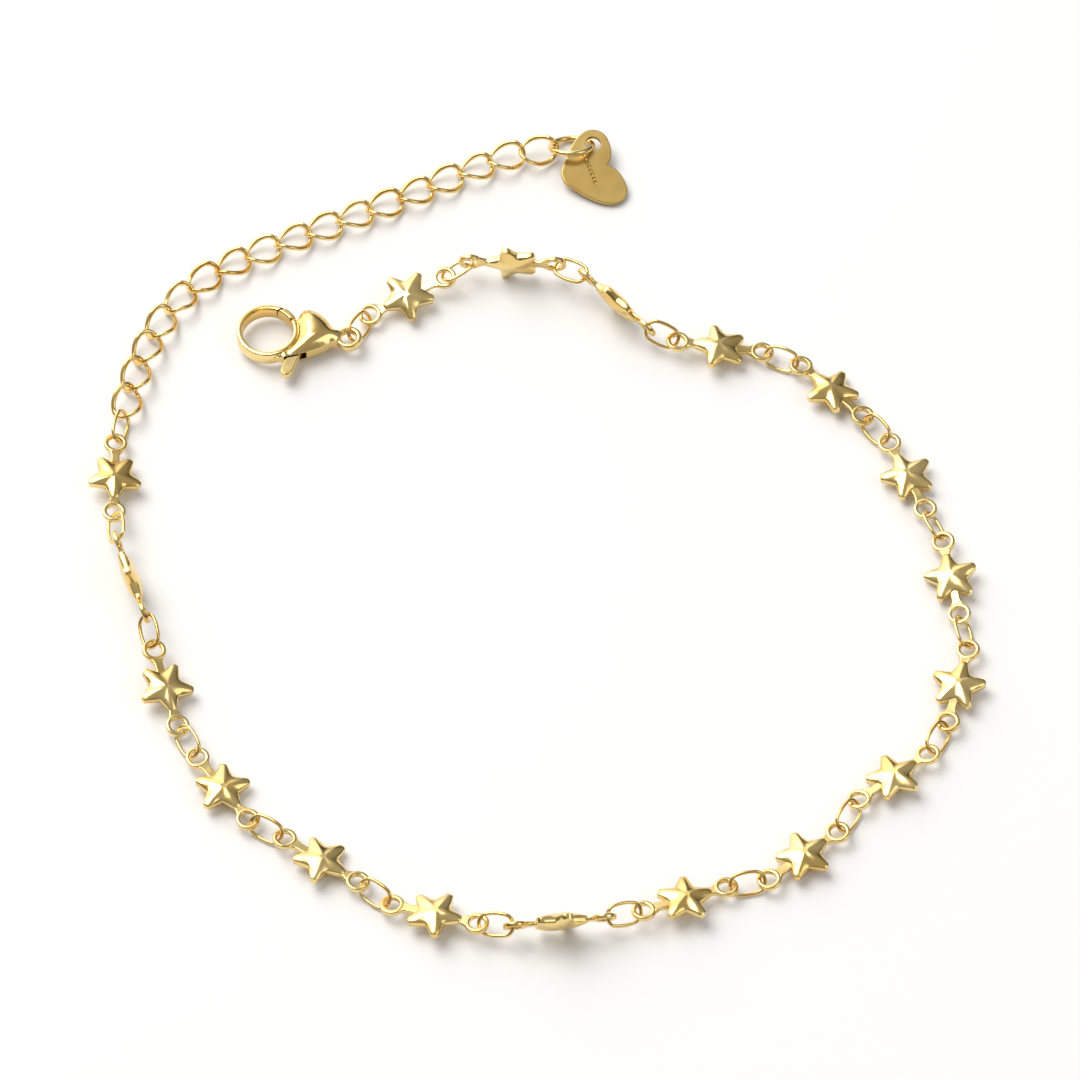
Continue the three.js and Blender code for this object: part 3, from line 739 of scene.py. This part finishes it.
# Floor, light and camera
studio = {
    "floorSize": 3.0, "floorColour": (0.93, 0.925, 0.915), "floorShade": 0.985, "floorGrain": 12,
    "floorRoughness": 0.75,
    "lookAt": (0.62, -1.27, 0), "elevation": 57, "distance": 646, "lens": 241.7, "clip": (0.01, 20),
    "skyTop": 0.40, "skySide": 0.24, "skyLow": 0.02, "topHeight": 0.9, "sideHeight": 0.35, "horizon": 0.12,
    "window": (-0.52, 0.78, 0.38), "windowGlow": 1.6, "windowEdge": (0.70, 0.95),
    "key": {"place": (-0.35, 0.25, 0.75), "size": (0.6, 0.6), "watts": 5.1, "colour": (1.0, 0.985, 0.96)},
    "fill": {"place": (0.6, -0.2, 0.6), "size": (0.5, 0.5), "watts": 1.0, "colour": (1.0, 1.0, 1.0)},
}


def makeFloor():
    selectNone()
    bpy.ops.mesh.primitive_plane_add(size=studio["floorSize"], location=(0, 0, 0))
    floor = added("tableTop")
    material = bpy.data.materials.new("tableTop")
    material.use_nodes = True
    nodes, links = material.node_tree.nodes, material.node_tree.links
    shader = nodes["Principled BSDF"]
    shader.inputs["Roughness"].default_value = studio["floorRoughness"]
    place = nodes.new("ShaderNodeTexCoord")
    grain = nodes.new("ShaderNodeTexNoise")
    grain.inputs["Scale"].default_value = studio["floorGrain"]
    shade = nodes.new("ShaderNodeValToRGB")
    shade.color_ramp.elements[0].color = (*[c * studio["floorShade"] for c in studio["floorColour"]], 1)
    shade.color_ramp.elements[1].color = (*studio["floorColour"], 1)
    links.new(place.outputs["Object"], grain.inputs["Vector"])
    links.new(grain.outputs["Fac"], shade.inputs["Fac"])
    links.new(shade.outputs["Color"], shader.inputs["Base Color"])
    floor.data.materials.append(material)


def makeSky():
    world = bpy.data.worlds.new("studio")
    bpy.context.scene.world = world
    world.use_nodes = True
    nodes, links = world.node_tree.nodes, world.node_tree.links
    back = nodes["Background"]
    place = nodes.new("ShaderNodeTexCoord")
    split = nodes.new("ShaderNodeSeparateXYZ")
    height = nodes.new("ShaderNodeValToRGB")
    low, top = height.color_ramp.elements[0], height.color_ramp.elements[1]
    low.position, low.color = studio["horizon"], (*[studio["skyLow"]] * 3, 1)
    top.position, top.color = studio["topHeight"], (*[studio["skyTop"]] * 3, 1)
    side = height.color_ramp.elements.new(studio["sideHeight"])
    side.color = (*[studio["skySide"]] * 3, 1)
    links.new(place.outputs["Generated"], split.inputs["Vector"])
    links.new(split.outputs["Z"], height.inputs["Fac"])
    window = nodes.new("ShaderNodeVectorMath")  # a bright opening high behind the anklet
    window.operation = "DOT_PRODUCT"
    window.inputs[1].default_value = Vector(studio["window"]).normalized()
    glow = nodes.new("ShaderNodeMapRange")
    glow.interpolation_type = "SMOOTHSTEP"
    glow.inputs["From Min"].default_value, glow.inputs["From Max"].default_value = studio["windowEdge"]
    glow.inputs["To Max"].default_value = studio["windowGlow"]
    both = nodes.new("ShaderNodeVectorMath")
    both.operation = "ADD"
    links.new(place.outputs["Generated"], window.inputs[0])
    links.new(window.outputs["Value"], glow.inputs["Value"])
    links.new(height.outputs["Color"], both.inputs[0])
    links.new(glow.outputs["Result"], both.inputs[1])
    links.new(both.outputs["Vector"], back.inputs["Color"])


def softbox(name):
    values = studio[name]
    light = bpy.data.lights.new(name, "AREA")
    light.shape = "RECTANGLE"
    light.size, light.size_y = values["size"]
    light.energy = values["watts"]
    light.color = values["colour"]
    lamp = bpy.data.objects.new(name, light)
    bpy.context.scene.collection.objects.link(lamp)
    lamp.location = values["place"]
    lamp.rotation_mode = "QUATERNION"
    lamp.rotation_quaternion = (-Vector(values["place"])).to_track_quat("-Z", "Y")


def makeCamera():
    data = bpy.data.cameras.new("view")
    camera = bpy.data.objects.new("view", data)
    bpy.context.scene.collection.objects.link(camera)
    tilt = math.radians(studio["elevation"])
    target = Vector(studio["lookAt"]) * mm
    back = Vector((0, -math.cos(tilt), math.sin(tilt)))
    camera.location = target + back * studio["distance"] * mm
    camera.rotation_mode = "QUATERNION"
    camera.rotation_quaternion = (-back).to_track_quat("-Z", "Y")
    data.lens = studio["lens"]
    data.clip_start, data.clip_end = studio["clip"]
    bpy.context.scene.camera = camera


makeFloor()
makeSky()
softbox("key")
softbox("fill")
makeCamera()
bpy.context.scene.view_settings.view_transform = "Standard"
print("studio ready")
